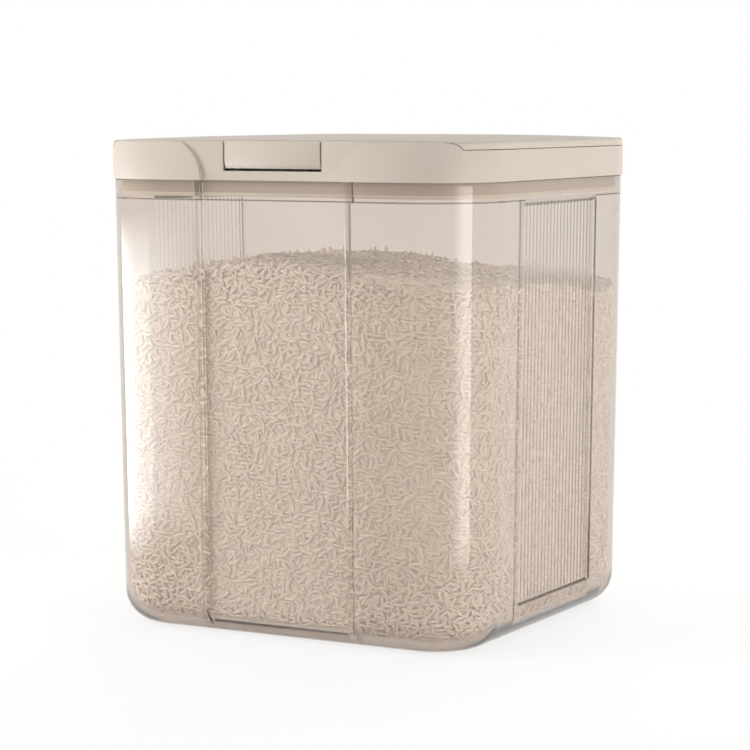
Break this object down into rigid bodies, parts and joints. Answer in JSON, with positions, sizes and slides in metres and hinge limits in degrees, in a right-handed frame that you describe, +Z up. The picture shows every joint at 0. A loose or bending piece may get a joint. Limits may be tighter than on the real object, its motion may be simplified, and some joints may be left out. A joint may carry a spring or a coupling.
{
  "type": "rice bin with flip lid",
  "caption": "Clear tapered rice bin with fluted side panels and a lift-off lid frame that carries a hinged flip lid, a press button and its latch.",
  "frame": {"origin": "middle of the bounding box at the surface that the bin stands on", "axes": "+Z up, the front wall with the press button towards -Y, +X to the right of someone who faces the front wall"},
  "size_m": [0.24, 0.228, 0.2745],
  "materials": {
    "clear_plastic": "clear, polished",
    "beige_plastic": "moulded, satin",
    "silicone": "soft, matt",
    "white_plastic": "moulded, smooth",
    "steel": "zinc plated"
  },
  "bodies": {
    "container": {"container": "clear_plastic"},
    "lid_frame": {"lid_frame": "beige_plastic", "inner_collar": "beige_plastic", "collar_gasket": "silicone", "collar_screws": "steel", "button_pin": "steel", "latch_housing": "white_plastic", "latch_housing_screws": "steel", "latch_spring_left": "steel", "latch_spring_right": "steel", "hinge_pin_left": "steel", "hinge_pin_right": "steel", "hinge_cover_left": "beige_plastic", "hinge_cover_right": "beige_plastic", "torsion_spring_left": "steel", "torsion_spring_right": "steel"},
    "flip_lid": {"flip_lid_shell": "beige_plastic", "flip_lid_liner": "beige_plastic", "flip_lid_gasket": "silicone", "lid_striker": "white_plastic", "striker_screws": "steel"},
    "press_button": {"press_button": "beige_plastic"},
    "latch_slider": {"latch_slider": "white_plastic"}
  },
  "joints": [
    {"name": "lid_lift", "type": "slide", "parent": "container", "child": "lid_frame", "axis": [0, 0, 1], "range_m": [0, 0.06]},
    {"name": "lid_hinge", "type": "hinge", "parent": "lid_frame", "child": "flip_lid", "pos_m": [0, 0.101, 0.2682], "axis": [-1, 0, 0], "range_deg": [0, 100], "deforming": ["torsion_spring_left", "torsion_spring_right"]},
    {"name": "button_rock", "type": "hinge", "parent": "lid_frame", "child": "press_button", "pos_m": [0, -0.104, 0.266], "axis": [1, 0, 0], "range_deg": [0, 8], "stiffness_Nm_per_rad": 0.43},
    {"name": "latch_slide", "type": "slide", "parent": "lid_frame", "child": "latch_slider", "axis": [0, 1, 0], "range_m": [0, 0.0024], "deforming": ["latch_spring_left", "latch_spring_right"]}
  ],
  "couplings": [
    {"joint": "latch_slide", "follows": "button_rock", "m_per_rad": 0.017}
  ]
}
